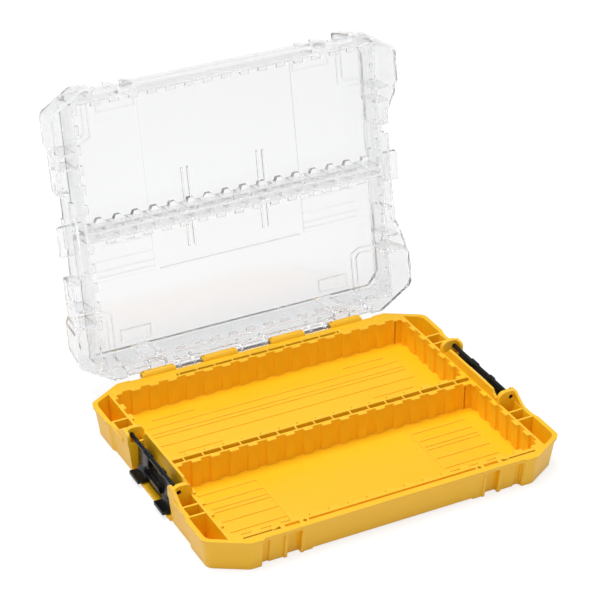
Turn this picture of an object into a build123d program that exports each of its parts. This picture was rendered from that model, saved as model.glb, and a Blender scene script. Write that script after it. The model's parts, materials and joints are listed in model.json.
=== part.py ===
from build123d import *
import os

# Overall form, measured at the rim of the tray
HALF_WIDTH = 120.0
HALF_DEPTH = 94.2
CORNER_RUN_X = 21.7
CORNER_RUN_Y = 12.9
CORNER_ROUND = 6.0
BLOCK_RUN = 32.0
BLOCK_PROUD = 1.3
BLOCK_STEP = 1.0
RIM_Z = 21.0
BASE_TAPER = 2.7
WALL = 1.8
LIP_PROUD = 0.8
LIP_HEIGHT = 2.5
OUTSIDE = 5.0
OVERLAP = 1.0

# Relief along the front and back walls; runs are taken in from the end of the case
FLUTE_RUN = (58.0, 49.0)
FLUTE_DEPTH = 3.4
SUNK_RUN = (47.0, 32.8)
SUNK_DEPTH = 1.2
GROOVE_RUN = (37.5, 33.6)
GROOVE_DEPTH = 2.2
FOOT_RUN = 66.0
FOOT_RISE = 0.9
FOOT_SETBACK = 1.6
MID_SUNK_RUN = 60.0
MID_SUNK_DEPTH = 0.6
MID_SUNK_SIDE = 1.0

# Bays, tray walls and ribs
FLOOR_Z = 2.5
TRAY_WALL = 1.5
BASE_END_RUN = 14.5
LID_END_RUN = 16.2
FRONT_WALL_RUN = 7.6
REAR_WALL_RUN = 8.2
DIVIDER_FRONT_Y = -3.5
DIVIDER_REAR_Y = 1.7
RIB_PITCH = 12.6
RIB_BACK_WIDTH = 6.8
RIB_FACE_WIDTH = 5.8
RIB_DEPTH = 1.5
TAB_WIDTH = 6.0
TAB_REACH = 2.3
TAB_HEIGHT = 1.0
WEB = 1.0
SLIT_RUN = 21.1
SLIT_WIDTH = 1.2

# Rooms in front of the front bay
CHANNEL_RUN = 64.0
CHANNEL_Y_RUN = (6.1, 4.3)
CHANNEL_DEPTH = 2.5
DOT_RUN = 61.5
DOT_Y_RUN = 5.1
DOT_R = 1.2
DOT_DEPTH = 4.0
SHALLOW_RUN = (58.1, 48.5)
SHALLOW_Y_RUN = (6.5, 3.9)
SHALLOW_DEPTH = 1.6
NOTCH_RUN = (45.7, 40.0)
NOTCH_Y_RUN = (6.6, 4.0)
SIDE_SLOT_RUN = (40.5, 22.0)
SIDE_SLOT_Y_RUN = (5.9, 4.6)
SIDE_SLOT_DEPTH = 6.0
REAR_CHANNEL_RUN = 61.5

# Floor lines
LINE_WIDTH = 1.2
LINE_HEIGHT = 0.5
PANEL_EDGE_RUN = 66.5
PANEL_FAR_RUN = 27.3
FRONT_LINES_Y = (-16.0, -25.3, -32.0, -35.7, -46.3, -57.5, -62.0)
FRONT_PANEL_Y = (-63.0, -16.0)
REAR_LONG_LINES_Y = (64.0, 57.0, 53.2, 42.7)
REAR_SHORT_LINES_Y = (72.0, 32.0)
LONG_LINE_RUN = 30.0
SHORT_LINE_RUN = 37.0

# Side walls, pockets and latch ears
JOG_DEPTH = 1.2
JOG_INNER_Y = 54.0
JOG_OUTER_Y = 59.0
CORNER_WEB_Y = 56.0
SMALL_WEB_Y = 46.0
EAR_INNER_Y = 33.0
EAR_OUTER_Y = 36.0
EAR_RUN = 15.0
EAR_TOP_Z = 28.9
EAR_ROUND = 5.0
CHEEK_TOP_Z = 27.8
CHEEK_SHOULDER_Y = 37.5
CHEEK_SHOULDER_Z = 26.6
CHEEK_BEND_Y = 44.0
CHEEK_BEND_Z = 22.4
CHEEK_END_Y = 50.0
CHEEK_THICK = 1.8
CHEEK_ROUND = 2.5
RECESS_HALF_Y = 28.9
RECESS_WALL = 1.5
RECESS_BACK_RUN = 12.8
RECESS_BACK_Z = 27.5
RECESS_BACK_THICK = 1.7
RECESS_BACK_HALF_Y = 26.0
RECESS_BACK_STEPS = ((28.0, 25.0), (31.0, 23.0))
LEDGE_Z = 2.0

# Latch, hanging beside the tray; reaches are taken from its pivot
PIVOT_RUN = 6.3
PIVOT_Z = 24.7
BARREL_R = 1.75
BARREL_HALF = 31.5
BUMP_R = 2.5
BUMP_SPANS = ((3.5, 12.5), (-15.5, -9.5))
STUB_R = 1.5
STUB_END_Y = 35.8
RUNNING_GAP = 0.05
PLATE_INNER_REACH = -3.8
PLATE_OUTER_REACH = -0.6
PLATE_HALF = 25.0
PLATE_LOW_Z = 2.7
PLATE_SHOULDER_Z = 19.8
NECK_LOW_Z = 21.0
NECK_BEND = 1.2
WINDOW_HALF = 10.3
WINDOW_LOW_Z = 14.6
WINDOW_HIGH_Z = 22.0
GRIP_HALF = 10.5
GRIP_LOW_Z = 8.0
GRIP_HIGH_Z = 14.2
GRIP_REACH = 2.6
GRIP_ROUND = 1.2
HOOK_INNER_Y = 11.5
HOOK_OUTER_Y = 24.5
HOOK_REACH = 6.0
HOOK_TOP_Z = 5.5
HOOK_ROOT_Z = 9.0
HOOK_ROOT_REACH = 0.9
HOOK_BEVEL = 1.0

# Hinge at the back
HINGE_OUT = 2.15
HINGE_Z = 21.2
PIN_R = 1.1
PIN_RUN = 41.5
FIXED_GAP = 0.02
KNUCKLE_R = 2.9
KNUCKLE_GAP = 0.35
INNER_KNUCKLE_X = (12.0, 36.7)
OUTER_KNUCKLE_RUN = (64.0, 41.0)
KNUCKLE_FOOT_Z = 13.5
KNUCKLE_SLANT = 2.0
KNUCKLE_NOTCH = 1.6
KNUCKLE_NOTCH_RISE = 0.6
LUG_R = 2.1
LUG_WIDTH = 1.6
INNER_LUG_X = 7.6
MIDDLE_LUG_X = 41.2
OUTER_LUG_RUN = 68.6
LUG_RISE = 7.0
LUG_CLEAR = 0.4

# Lid, described closed on the tray
LID_GAP = 0.3
LID_TOP_Z = 47.0
LID_TAPER = 4.0
PANEL_INNER_Z = 42.0
PANEL_OUTER_Z = 44.0
RIM_CEILING_Z = 45.0
STACK_RUN_X = 12.4
STACK_RUN_Y = 9.8
STACK_CORNER = 9.0
STACK_ROUND = 3.0
STACK_WALL = 2.0
LID_RECESS_RUN = 9.4
LID_RECESS_HALF_Y = 28.4
LID_STEP_RUN = 4.4
LID_STEP_Y = 37.0
LID_FLARE_RUN = 1.8
LID_FLARE_Y = 43.0
CATCH_HALF = 9.6
CATCH_RUN = 0.5
CATCH_LOW_Z = 28.7
CATCH_HIGH_Z = 32.6
HOOK_SEAT_Z = 43.4
HOOK_SEAT_RUN = 13.0
HOOK_SEAT_INNER_Y = 9.9
HOOK_SEAT_DROP = 0.2
EAR_CLEAR_RUN = 15.2
EAR_CLEAR_Z = 29.7
EAR_CLEAR_Y = (24.9, 38.6, 52.0)
LID_TAB_HEIGHT = 1.4
BAND_TAB_DROP = 4.0
BAND_TAB_REACH = 2.6
BAND_TAB_TIP = 3.6
LID_RIB_X = (24.4, 28.6)
LID_RIB_Y = (-26.6, 25.5)
LID_RIB_DROP = 2.0
LID_RIB_WIDTH = 0.9
LID_LINE_WIDTH = 0.7
LID_LINE_HEIGHT = 0.35
LID_LINES_Y = (12.9, 22.7, 29.1, 33.1)
LID_PANEL_STEP = 0.35
FRAME_BOX_RUN = (65.0, 39.0)
FRAME_BOX_Y_RUN = (15.2, 21.2)
HINGE_BOX_RUN = (59.3, 38.0)
HINGE_BOX_Y_RUN = (23.2, 14.2)
MID_LINE_Y = 35.8
MID_LINE_RUN = 70.0
CORNER_PANEL_RUN = (30.0, 27.6, 15.9)
CORNER_PANEL_Y_RUN = (9.0, 32.4, 35.2)
CORNER_LINE_GAP = 3.6
CORNER_LINE_HEIGHT = 0.8
OPEN_ANGLE = 100.8

# Places that follow from the overall form
BLOCK_INNER_X = HALF_WIDTH - BLOCK_RUN
BASE_END_WALL_X = HALF_WIDTH - BASE_END_RUN
LID_END_WALL_X = HALF_WIDTH - LID_END_RUN
FRONT_WALL_Y = FRONT_WALL_RUN - HALF_DEPTH
REAR_WALL_Y = HALF_DEPTH - REAR_WALL_RUN
PANEL_EDGE_X = HALF_WIDTH - PANEL_EDGE_RUN
PANEL_FAR_X = HALF_WIDTH - PANEL_FAR_RUN
RECESS_BACK_X = HALF_WIDTH - RECESS_BACK_RUN
SIDE_WALL_X = HALF_WIDTH - LIP_PROUD - JOG_DEPTH
PIVOT_X = HALF_WIDTH - PIVOT_RUN
HINGE_Y = HALF_DEPTH + HINGE_OUT
KNUCKLE_SPANS = (INNER_KNUCKLE_X, (HALF_WIDTH - OUTER_KNUCKLE_RUN[0], HALF_WIDTH - OUTER_KNUCKLE_RUN[1]))
LUG_X = (INNER_LUG_X, MIDDLE_LUG_X, HALF_WIDTH - OUTER_LUG_RUN)
STACK_HALF_X = HALF_WIDTH - STACK_RUN_X
STACK_HALF_Y = HALF_DEPTH - STACK_RUN_Y
LID_RECESS_X = HALF_WIDTH - LID_RECESS_RUN


def slope_at(z):
    """How far the outer walls stand in from the rim outline at a height."""
    if z <= RIM_Z:
        return -BASE_TAPER * (RIM_Z - z) / RIM_Z
    return -LID_TAPER * (z - RIM_Z) / (LID_TOP_Z - RIM_Z)


def block(x, y, z):
    """Box between two x values, two y values and two z values."""
    size = (x[1] - x[0], y[1] - y[0], z[1] - z[0])
    middle = ((x[0] + x[1]) / 2, (y[0] + y[1]) / 2, (z[0] + z[1]) / 2)
    return Pos(*middle) * Box(*size)


def prism(plane, points, near, far):
    """Straight prism on a side plane's normal line, between two distances along the X or Y axis."""
    middle = (near + far) / 2
    place = Pos(0, middle, 0) if plane == Plane.XZ else Pos(middle, 0, 0)
    return place * extrude(plane * Polygon(*points, align=None), (far - near) / 2, both=True)


def upright(face, low, high):
    """A plan face carried straight up between two heights."""
    return Pos(0, 0, (low + high) / 2) * extrude(face, (high - low) / 2, both=True)


def both_x(solid):
    """A solid and its mirror image across the middle of the case."""
    return solid + mirror(solid, about=Plane.YZ)


def both_y(solid):
    """A solid and its mirror image from front to back."""
    return solid + mirror(solid, about=Plane.XZ)


def outline(grow):
    """Case outline with bevelled corners and proud corner blocks."""
    width = HALF_WIDTH + grow
    depth = HALF_DEPTH + grow + BLOCK_PROUD
    length = (CORNER_RUN_X ** 2 + CORNER_RUN_Y ** 2) ** 0.5
    normal_x = CORNER_RUN_Y / length
    normal_y = CORNER_RUN_X / length
    level = normal_x * HALF_WIDTH + normal_y * (HALF_DEPTH - CORNER_RUN_Y) + grow
    side_y = (level - normal_x * width) / normal_y
    front_x = (level - normal_y * depth) / normal_x
    step_y = depth - BLOCK_PROUD
    step_x = BLOCK_INNER_X - BLOCK_STEP
    quarter = [(width, side_y), (front_x, depth), (BLOCK_INNER_X, depth), (step_x, step_y)]
    points = list(quarter)
    points += [(-x, y) for x, y in reversed(quarter)]
    points += [(-x, -y) for x, y in quarter]
    points += [(x, -y) for x, y in reversed(quarter)]
    face = Polygon(*points, align=None)
    corners = [v for v in face.vertices() if abs(v.X) > BLOCK_INNER_X + BLOCK_STEP]
    return fillet(corners, CORNER_ROUND)


def tapered(low, high, grow):
    """The case outline carried up between two heights along the sloping walls."""
    first = Pos(0, 0, low) * outline(slope_at(low) + grow)
    last = Pos(0, 0, high) * outline(slope_at(high) + grow)
    return loft([first, last], ruled=True)


def leaning(points, low, high, lean):
    """Upright block whose outline follows the slope of one outer wall."""
    faces = []
    for z in (low, high):
        move = slope_at(z)
        moved = [(x + lean[0] * move, y + lean[1] * move) for x, y in points]
        faces.append(Pos(0, 0, z) * Polygon(*moved, align=None))
    return loft(faces, ruled=True)


def front_cut(x, depth, low, high, side):
    """Sunk panel of a given depth in the front wall, with slanting ends."""
    near = -HALF_DEPTH - OUTSIDE
    wall = -HALF_DEPTH + LIP_PROUD
    points = [(x[0] - side, near), (x[0], wall + depth), (x[1], wall + depth), (x[1] + side, near)]
    return leaning(points, low, high, (0, -1))


def along_front(run, extra):
    """Two x values on the right from two distances in from the end, widened by a margin."""
    return (HALF_WIDTH - run[0] - extra, HALF_WIDTH - run[1] + extra)


def front_relief(low, high, extra):
    """Flutes and sunk panels shared by the front and back of tray and lid."""
    middle_x = HALF_WIDTH - MID_SUNK_RUN
    relief = front_cut(along_front(FLUTE_RUN, extra), FLUTE_DEPTH + extra, low, high, 0)
    relief += front_cut(along_front(SUNK_RUN, extra), SUNK_DEPTH + extra, low, high, 0)
    relief = both_x(relief)
    relief += front_cut((-middle_x, middle_x), MID_SUNK_DEPTH + extra, low, high, MID_SUNK_SIDE)
    return both_y(relief)


def rib_steps(low, high):
    """Centres of the ribs that fit along a wall, evenly spaced about its middle."""
    count = int(((high - low) / 2 - RIB_FACE_WIDTH / 2) // RIB_PITCH)
    return [(low + high) / 2 + RIB_PITCH * step for step in range(-count, count + 1)]


def bay_plan(end_x, low_y, high_y, back, face, depth):
    """Plan of one bay: a rectangle less the ribs that stand into it."""
    plan = Polygon((-end_x, low_y), (end_x, low_y), (end_x, high_y), (-end_x, high_y), align=None)
    ribs = []
    for x in rib_steps(-end_x, end_x):
        for wall, into in ((low_y, 1), (high_y, -1)):
            foot = wall - into
            tip = wall + into * depth
            ribs.append(Polygon((x - back / 2, foot), (x + back / 2, foot), (x + back / 2, wall),
                                (x + face / 2, tip), (x - face / 2, tip), (x - back / 2, wall), align=None))
    for y in rib_steps(low_y, high_y):
        for side in (-1, 1):
            wall = side * end_x
            foot = wall + side
            tip = wall - side * depth
            ribs.append(Polygon((foot, y - back / 2), (foot, y + back / 2), (wall, y + back / 2),
                                (tip, y + face / 2), (tip, y - face / 2), (wall, y - back / 2), align=None))
    return plan - ribs


def bay_limits(end_wall_x):
    """End x, and low and high y, of the clear space in the front and rear bays."""
    half = TRAY_WALL / 2
    end_x = end_wall_x - half
    front = (end_x, FRONT_WALL_Y + half, DIVIDER_FRONT_Y - half)
    rear = (end_x, DIVIDER_REAR_Y + half, REAR_WALL_Y - half)
    return front, rear


def slot_rooms(end_x, low_y, high_y, low, high):
    """Row of small rooms between two walls, parted by thin webs."""
    rooms = []
    steps = int(end_x // RIB_PITCH) + 1
    for step in range(-steps, steps + 1):
        start = max(-end_x, (step - 0.5) * RIB_PITCH + WEB / 2)
        end = min(end_x, (step + 0.5) * RIB_PITCH - WEB / 2)
        if end - start > WEB:
            rooms.append(block((start, end), (low_y, high_y), (low, high)))
    return rooms


def tray_bays():
    """Everything taken out of the tray block to leave the two ribbed bays."""
    top = RIM_Z + OVERLAP
    tab_floor = RIM_Z - TAB_HEIGHT
    cuts = []
    for limits in bay_limits(BASE_END_WALL_X):
        ribbed = bay_plan(*limits, RIB_BACK_WIDTH, RIB_FACE_WIDTH, RIB_DEPTH)
        tabbed = bay_plan(*limits, TAB_WIDTH, TAB_WIDTH, TAB_REACH)
        cuts += upright(ribbed, FLOOR_Z, tab_floor).solids()
        cuts += upright(tabbed, tab_floor, top).solids()
        slit_x = HALF_WIDTH - SLIT_RUN
        slit_y = (limits[2] - RIB_DEPTH - OVERLAP, limits[2])
        cuts.append(block((slit_x - SLIT_WIDTH / 2, slit_x + SLIT_WIDTH / 2), slit_y, (FLOOR_Z, tab_floor)))
    half = TRAY_WALL / 2
    cuts += slot_rooms(BASE_END_WALL_X - half, DIVIDER_FRONT_Y + half, DIVIDER_REAR_Y - half, FLOOR_Z, top)
    return cuts


def front_room(x, y_run, depth):
    """Small room sunk into the rim between the front bay and the front wall."""
    y = (y_run[1] - HALF_DEPTH, y_run[0] - HALF_DEPTH)
    return block(x, y, (RIM_Z - depth, RIM_Z + OVERLAP))


def tray_channels():
    """Channel, pockets and dots in front of the front bay, and the rooms behind the rear bay."""
    channel_x = HALF_WIDTH - CHANNEL_RUN
    notch_x = along_front(NOTCH_RUN, 0)
    notch = Polygon((notch_x[0], NOTCH_Y_RUN[0] - HALF_DEPTH), (notch_x[0], NOTCH_Y_RUN[1] - HALF_DEPTH),
                    (notch_x[1], SIDE_SLOT_Y_RUN[1] - HALF_DEPTH), align=None)
    dot_place = Pos(HALF_WIDTH - DOT_RUN, DOT_Y_RUN - HALF_DEPTH, RIM_Z)
    right = [front_room(along_front(SHALLOW_RUN, 0), SHALLOW_Y_RUN, SHALLOW_DEPTH),
             front_room(along_front(SIDE_SLOT_RUN, 0), SIDE_SLOT_Y_RUN, SIDE_SLOT_DEPTH),
             upright(notch, RIM_Z - SIDE_SLOT_DEPTH, RIM_Z + OVERLAP),
             dot_place * Cylinder(DOT_R, 2 * DOT_DEPTH)]
    rooms = right + [mirror(room, about=Plane.YZ) for room in right]
    rooms.append(front_room((-channel_x, channel_x), CHANNEL_Y_RUN, CHANNEL_DEPTH))
    rear_low = REAR_WALL_Y + TRAY_WALL / 2
    rear_high = HALF_DEPTH - WALL - LIP_PROUD - BASE_TAPER
    rooms += slot_rooms(HALF_WIDTH - REAR_CHANNEL_RUN, rear_low, rear_high, FLOOR_Z, RIM_Z + OVERLAP)
    return rooms


def side_room(near, low_y, high_y):
    """Room at one end of the tray, from an upright inner face out to the sloping outer wall."""
    outer = SIDE_WALL_X - WALL
    top = RIM_Z + OVERLAP
    room = leaning([(near, low_y), (outer, low_y), (outer, high_y), (near, high_y)], FLOOR_Z, top, (1, 0))
    return room & block((near, HALF_WIDTH), (low_y, high_y), (FLOOR_Z, top))


def side_pockets():
    """Open pockets at one end of the tray, between end wall and outer wall."""
    half = TRAY_WALL / 2
    inner = BASE_END_WALL_X + half
    top = RIM_Z + OVERLAP
    hollow = tapered(FLOOR_Z, top, -WALL - LIP_PROUD)
    corner = hollow & block((inner, HALF_WIDTH), (CORNER_WEB_Y + half, HALF_DEPTH), (FLOOR_Z, top))
    small = side_room(inner, SMALL_WEB_Y + half, CORNER_WEB_Y - half)
    ear = side_room(inner, EAR_OUTER_Y, SMALL_WEB_Y - half)
    gap = side_room(RECESS_BACK_X, RECESS_HALF_Y + RECESS_WALL, EAR_INNER_Y)
    return [corner, small, ear, gap]


def side_jog(low, high, extra):
    """Strip taken off the outside of an end wall between corner block and latch recess."""
    wall = SIDE_WALL_X - extra
    far = HALF_WIDTH + OUTSIDE
    start = RECESS_HALF_Y - OVERLAP
    points = [(wall, start), (wall, JOG_INNER_Y + extra), (HALF_WIDTH, JOG_OUTER_Y + extra),
              (far, JOG_OUTER_Y + extra), (far, start)]
    return leaning(points, low, high, (1, 0))


def tray_lip():
    """Proud lip round the rim, which follows the jog and ends at the ears."""
    low = RIM_Z - LIP_HEIGHT
    lip = tapered(low, RIM_Z, 0) - both_y(both_x(side_jog(low - OVERLAP, RIM_Z + OVERLAP, -LIP_PROUD)))
    points = [(SIDE_WALL_X, -EAR_OUTER_Y), (SIDE_WALL_X, EAR_OUTER_Y),
              (HALF_WIDTH + OUTSIDE, EAR_OUTER_Y), (HALF_WIDTH + OUTSIDE, -EAR_OUTER_Y)]
    return lip - both_x(leaning(points, low - OVERLAP, RIM_Z + OVERLAP, (1, 0)))


def latch_recess():
    """Opening in an end wall where the latch hangs."""
    x = (RECESS_BACK_X, HALF_WIDTH + OUTSIDE)
    return block(x, (-RECESS_HALF_Y, RECESS_HALF_Y), (LEDGE_Z, RIM_Z + OVERLAP))


def latch_ear():
    """Upright plate with the pivot hole, and the cheek that falls away to the rim beside it."""
    foot_z = RIM_Z - OVERLAP
    plate = block((HALF_WIDTH - EAR_RUN, SIDE_WALL_X), (EAR_INNER_Y, EAR_OUTER_Y), (foot_z, EAR_TOP_Z))
    top_edges = [e for e in plate.edges().filter_by(Axis.Y) if e.center().Z > EAR_TOP_Z - FIXED_GAP]
    plate = fillet(top_edges, EAR_ROUND)
    fall = [(RECESS_HALF_Y, foot_z), (RECESS_HALF_Y, CHEEK_TOP_Z), (EAR_OUTER_Y, CHEEK_TOP_Z),
            (CHEEK_SHOULDER_Y, CHEEK_SHOULDER_Z), (CHEEK_BEND_Y, CHEEK_BEND_Z), (CHEEK_END_Y, RIM_Z),
            (CHEEK_END_Y, foot_z)]
    cheek = prism(Plane.YZ, fall, SIDE_WALL_X - CHEEK_THICK, SIDE_WALL_X)
    end_edges = [e for e in cheek.edges().filter_by(Axis.X)
                 if e.center().Y < RECESS_HALF_Y + FIXED_GAP and e.center().Z > RIM_Z]
    cheek = fillet(end_edges, CHEEK_ROUND)
    hole = Pos(PIVOT_X, EAR_OUTER_Y, PIVOT_Z) * Rot(90, 0, 0) * Cylinder(STUB_R + RUNNING_GAP, 4 * WALL)
    return plate + cheek - hole


def recess_back():
    """Wall that stands up behind the latch, with stepped ends."""
    foot_y = RECESS_BACK_STEPS[-1][0]
    half = [(RECESS_BACK_HALF_Y, RECESS_BACK_Z), *RECESS_BACK_STEPS, (foot_y, RIM_Z - OVERLAP)]
    points = half + [(-y, z) for y, z in reversed(half)]
    return prism(Plane.YZ, points, RECESS_BACK_X - RECESS_BACK_THICK, RECESS_BACK_X)


def hinge_rod(radius, start, end):
    """Round bar along the hinge axis between two x values."""
    return Pos((start + end) / 2, HINGE_Y, HINGE_Z) * Rot(0, 90, 0) * Cylinder(radius, end - start)


def knuckle(start, end):
    """Hinge knuckle standing off the back wall on a sloping foot, its top corners notched."""
    back = HALF_DEPTH - WALL - LIP_PROUD
    foot_points = [(back, RIM_Z), (back, KNUCKLE_FOOT_Z), (back + LIP_PROUD, KNUCKLE_FOOT_Z),
                   (HINGE_Y + KNUCKLE_SLANT, HINGE_Z - KNUCKLE_SLANT), (HINGE_Y, HINGE_Z),
                   (HALF_DEPTH, RIM_Z)]
    body = prism(Plane.YZ, foot_points, start, end) + hinge_rod(KNUCKLE_R, start, end)
    notch_z = (HINGE_Z + PIN_R + KNUCKLE_NOTCH_RISE, HINGE_Z + 2 * KNUCKLE_R)
    notch_y = (HINGE_Y - 2 * KNUCKLE_R, HINGE_Y + KNUCKLE_R)
    for x in ((start, start + KNUCKLE_NOTCH), (end - KNUCKLE_NOTCH, end)):
        body -= block(x, notch_y, notch_z)
    return body


def floor_lines():
    """Thin raised lines on the floors of both bays."""
    half = LINE_WIDTH / 2
    z = (FLOOR_Z - OVERLAP, FLOOR_Z + LINE_HEIGHT)
    long_x = HALF_WIDTH - LONG_LINE_RUN
    lines = [block((PANEL_EDGE_X - half, PANEL_EDGE_X + half), FRONT_PANEL_Y, z)]
    for y in FRONT_LINES_Y:
        lines.append(block((PANEL_EDGE_X, PANEL_FAR_X), (y - half, y + half), z))
    for y in REAR_SHORT_LINES_Y:
        lines.append(block((PANEL_EDGE_X, HALF_WIDTH - SHORT_LINE_RUN), (y - half, y + half), z))
    lines += [mirror(line, about=Plane.YZ) for line in lines]
    for y in REAR_LONG_LINES_Y:
        lines.append(block((-long_x, long_x), (y - half, y + half), z))
    return lines


def base_tray():
    """The tray: one moulding with walls, bays, channels, ears and knuckles."""
    lip_z = RIM_Z - LIP_HEIGHT
    body = tapered(0, RIM_Z, -LIP_PROUD)
    body -= front_relief(-OVERLAP, lip_z, 0)
    body -= both_y(both_x(front_cut(along_front(GROOVE_RUN, 0), GROOVE_DEPTH, -OVERLAP, lip_z, 0)))
    foot_x = HALF_WIDTH - FOOT_RUN
    body -= both_y(front_cut((-foot_x, foot_x), FOOT_SETBACK, -OVERLAP, FOOT_RISE, 0))
    body -= both_y(both_x(side_jog(-OVERLAP, RIM_Z + OVERLAP, 0)))
    body += tray_lip()
    body -= both_x(latch_recess())
    for pocket in side_pockets():
        body -= both_y(both_x(pocket))
    body -= tray_bays()
    body -= tray_channels()
    body += floor_lines()
    body += both_y(both_x(latch_ear()))
    body += both_x(recess_back())
    for start, end in KNUCKLE_SPANS:
        body += both_x(knuckle(start, end))
    body -= hinge_rod(PIN_R + FIXED_GAP, -HALF_WIDTH, HALF_WIDTH)
    for x in LUG_X:
        cut = hinge_rod(LUG_R + LUG_CLEAR, x - LUG_CLEAR, x + LUG_WIDTH + LUG_CLEAR)
        body -= both_x(cut)
    return body


def lid_form(inset, high):
    """Outer form of the lid, or its inner hollow when an inset is given."""
    low = RIM_Z + LID_GAP
    relief_low = low - OVERLAP if inset else low + LIP_HEIGHT
    form = tapered(low, high, -inset)
    form -= front_relief(relief_low, high + OVERLAP, inset)
    form -= both_y(both_x(side_jog(low - OVERLAP, high + OVERLAP, inset)))
    straight_y = LID_RECESS_HALF_Y + inset
    flare_y = LID_FLARE_Y + inset
    step_x = HALF_WIDTH - LID_STEP_RUN - inset
    half = [(LID_RECESS_X - inset, straight_y), (step_x, straight_y), (step_x, LID_STEP_Y + inset),
            (HALF_WIDTH - LID_FLARE_RUN, flare_y), (HALF_WIDTH + OUTSIDE, flare_y)]
    points = half + [(x, -y) for x, y in reversed(half)]
    recess = upright(Polygon(*points, align=None), low - OVERLAP, high + OVERLAP)
    return form - both_x(recess)


def stacking_well(low, high, grow):
    """Bevelled rectangle in the middle of the lid's top."""
    x = STACK_HALF_X + grow
    y = STACK_HALF_Y + grow
    points = [(x, y - STACK_CORNER), (x - STACK_CORNER, y), (STACK_CORNER - x, y), (-x, y - STACK_CORNER),
              (-x, STACK_CORNER - y), (STACK_CORNER - x, -y), (x - STACK_CORNER, -y), (x, STACK_CORNER - y)]
    face = Polygon(*points, align=None)
    return upright(fillet(face.vertices(), STACK_ROUND), low, high)


def lid_walls():
    """Smooth walls inside the lid over the tray walls, with small tabs along their lower edges."""
    half = TRAY_WALL / 2
    low = RIM_Z + LID_GAP
    high = PANEL_INNER_Z + OVERLAP
    end_x = LID_END_WALL_X + half
    walls = block((-end_x, end_x), (FRONT_WALL_Y - half, REAR_WALL_Y + half), (low, high))
    tab_top = low + LID_TAB_HEIGHT
    for limits in bay_limits(LID_END_WALL_X):
        bay_x, low_y, high_y = limits
        tabbed = bay_plan(bay_x, low_y, high_y, TAB_WIDTH, TAB_WIDTH, TAB_REACH)
        walls -= upright(tabbed, low - OVERLAP, tab_top)
        walls -= block((-bay_x, bay_x), (low_y, high_y), (tab_top, high + OVERLAP))
    slot_y = (DIVIDER_FRONT_Y + half, DIVIDER_REAR_Y - half)
    walls -= slot_rooms(LID_END_WALL_X - half, slot_y[0], slot_y[1], low - OVERLAP, PANEL_INNER_Z)
    outer = SIDE_WALL_X - LID_TAPER
    for y in (SMALL_WEB_Y, CORNER_WEB_Y):
        web = block((LID_END_WALL_X, outer), (y - half, y + half), (low + OVERLAP, RIM_CEILING_Z + OVERLAP))
        walls += both_y(both_x(web))
    return walls


def band_tabs():
    """Tapered tabs where the middle band of the lid meets its top."""
    half = TRAY_WALL / 2
    z = (PANEL_INNER_Z - BAND_TAB_DROP, PANEL_INNER_Z + OVERLAP)
    tabs = []
    for x in rib_steps(-LID_END_WALL_X, LID_END_WALL_X):
        for wall, into in ((DIVIDER_FRONT_Y, -1), (DIVIDER_REAR_Y, 1)):
            tip = wall + into * (half + BAND_TAB_REACH)
            plan = Polygon((x - RIB_BACK_WIDTH / 2, wall), (x + RIB_BACK_WIDTH / 2, wall),
                           (x + BAND_TAB_TIP / 2, tip), (x - BAND_TAB_TIP / 2, tip), align=None)
            tabs.append(upright(plan, *z))
    return tabs


def flat_frame(x, y, z):
    """Thin raised line round a rectangle."""
    inner_x = (x[0] + LID_LINE_WIDTH, x[1] - LID_LINE_WIDTH)
    inner_y = (y[0] + LID_LINE_WIDTH, y[1] - LID_LINE_WIDTH)
    return block(x, y, z) - block(inner_x, inner_y, (z[0] - OVERLAP, z[1] + OVERLAP))


def lid_corner_line(grow, z):
    """One raised line round the panel in a corner of the lid's top."""
    start_x, bend_x, end_x = [HALF_WIDTH - run for run in CORNER_PANEL_RUN]
    low_y, bend_y, high_y = [run - HALF_DEPTH for run in CORNER_PANEL_Y_RUN]
    start_x -= grow
    bend_y += grow
    high_y += grow
    width = LID_LINE_WIDTH
    points = [(start_x, low_y), (start_x, bend_y), (bend_x, high_y), (end_x, high_y), (end_x, high_y - width),
              (bend_x + width, high_y - width), (start_x + width, bend_y - width), (start_x + width, low_y)]
    return upright(Polygon(*points, align=None), *z)


def lid_corner_outline():
    """Two raised lines, one inside the other, round each corner of the lid's top."""
    z = (PANEL_INNER_Z - CORNER_LINE_HEIGHT, PANEL_INNER_Z + OVERLAP)
    return both_y(lid_corner_line(0, z) + lid_corner_line(CORNER_LINE_GAP, z))


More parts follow.
